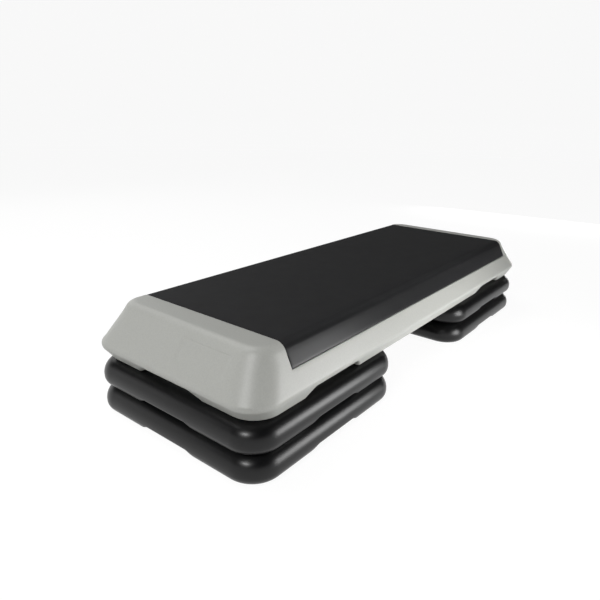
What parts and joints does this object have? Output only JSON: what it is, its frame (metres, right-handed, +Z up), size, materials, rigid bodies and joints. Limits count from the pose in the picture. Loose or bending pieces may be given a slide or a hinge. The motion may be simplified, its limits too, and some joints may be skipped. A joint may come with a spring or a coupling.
{
  "type": "aerobic step platform",
  "caption": "Sloped exercise step with a black non-slip tread mat, raised on stacks of square nesting risers with full-round sides, rubber pads and finger notches.",
  "frame": {"origin": "on the floor under the middle of the platform", "axes": "+X along the platform's length, +Y across it, +Z up; the bare label place is on the -X end"},
  "size_m": [1.091, 0.405, 0.2032],
  "materials": {
    "platform_plastic": "moulded satin, light grey",
    "mat_rubber": "fine pebble grain, black",
    "riser_plastic": "moulded satin, black",
    "pad_rubber": "matt, black"
  },
  "bodies": {
    "lower_risers": {"left_lower_riser_pad_back_inner": "pad_rubber", "left_lower_riser_pad_back_outer": "pad_rubber", "left_lower_riser_pad_front_inner": "pad_rubber", "left_lower_riser_pad_front_outer": "pad_rubber", "left_lower_riser_shell": "riser_plastic", "right_lower_riser_pad_back_inner": "pad_rubber", "right_lower_riser_pad_back_outer": "pad_rubber", "right_lower_riser_pad_front_inner": "pad_rubber", "right_lower_riser_pad_front_outer": "pad_rubber", "right_lower_riser_shell": "riser_plastic"},
    "left_upper_riser": {"left_upper_riser_pad_back_inner": "pad_rubber", "left_upper_riser_pad_back_outer": "pad_rubber", "left_upper_riser_pad_front_inner": "pad_rubber", "left_upper_riser_pad_front_outer": "pad_rubber", "left_upper_riser_shell": "riser_plastic"},
    "right_upper_riser": {"right_upper_riser_pad_back_inner": "pad_rubber", "right_upper_riser_pad_back_outer": "pad_rubber", "right_upper_riser_pad_front_inner": "pad_rubber", "right_upper_riser_pad_front_outer": "pad_rubber", "right_upper_riser_shell": "riser_plastic"},
    "platform": {"platform_pad_left_back_inner": "pad_rubber", "platform_pad_left_back_outer": "pad_rubber", "platform_pad_left_front_inner": "pad_rubber", "platform_pad_left_front_outer": "pad_rubber", "platform_pad_right_back_inner": "pad_rubber", "platform_pad_right_back_outer": "pad_rubber", "platform_pad_right_front_inner": "pad_rubber", "platform_pad_right_front_outer": "pad_rubber", "platform_shell": "platform_plastic", "tread_mat": "mat_rubber"}
  },
  "joints": [
    {"name": "left_upper_riser_lift", "type": "slide", "parent": "lower_risers", "child": "left_upper_riser", "axis": [0, 0, 1], "range_m": [0, 0.1]},
    {"name": "right_upper_riser_lift", "type": "slide", "parent": "lower_risers", "child": "right_upper_riser", "axis": [0, 0, 1], "range_m": [0, 0.1]},
    {"name": "platform_lift", "type": "slide", "parent": "left_upper_riser", "child": "platform", "axis": [0, 0, 1], "range_m": [0, 0.1]}
  ],
  "couplings": [
    {"joint": "right_upper_riser_lift", "follows": "left_upper_riser_lift", "ratio": 1}
  ]
}
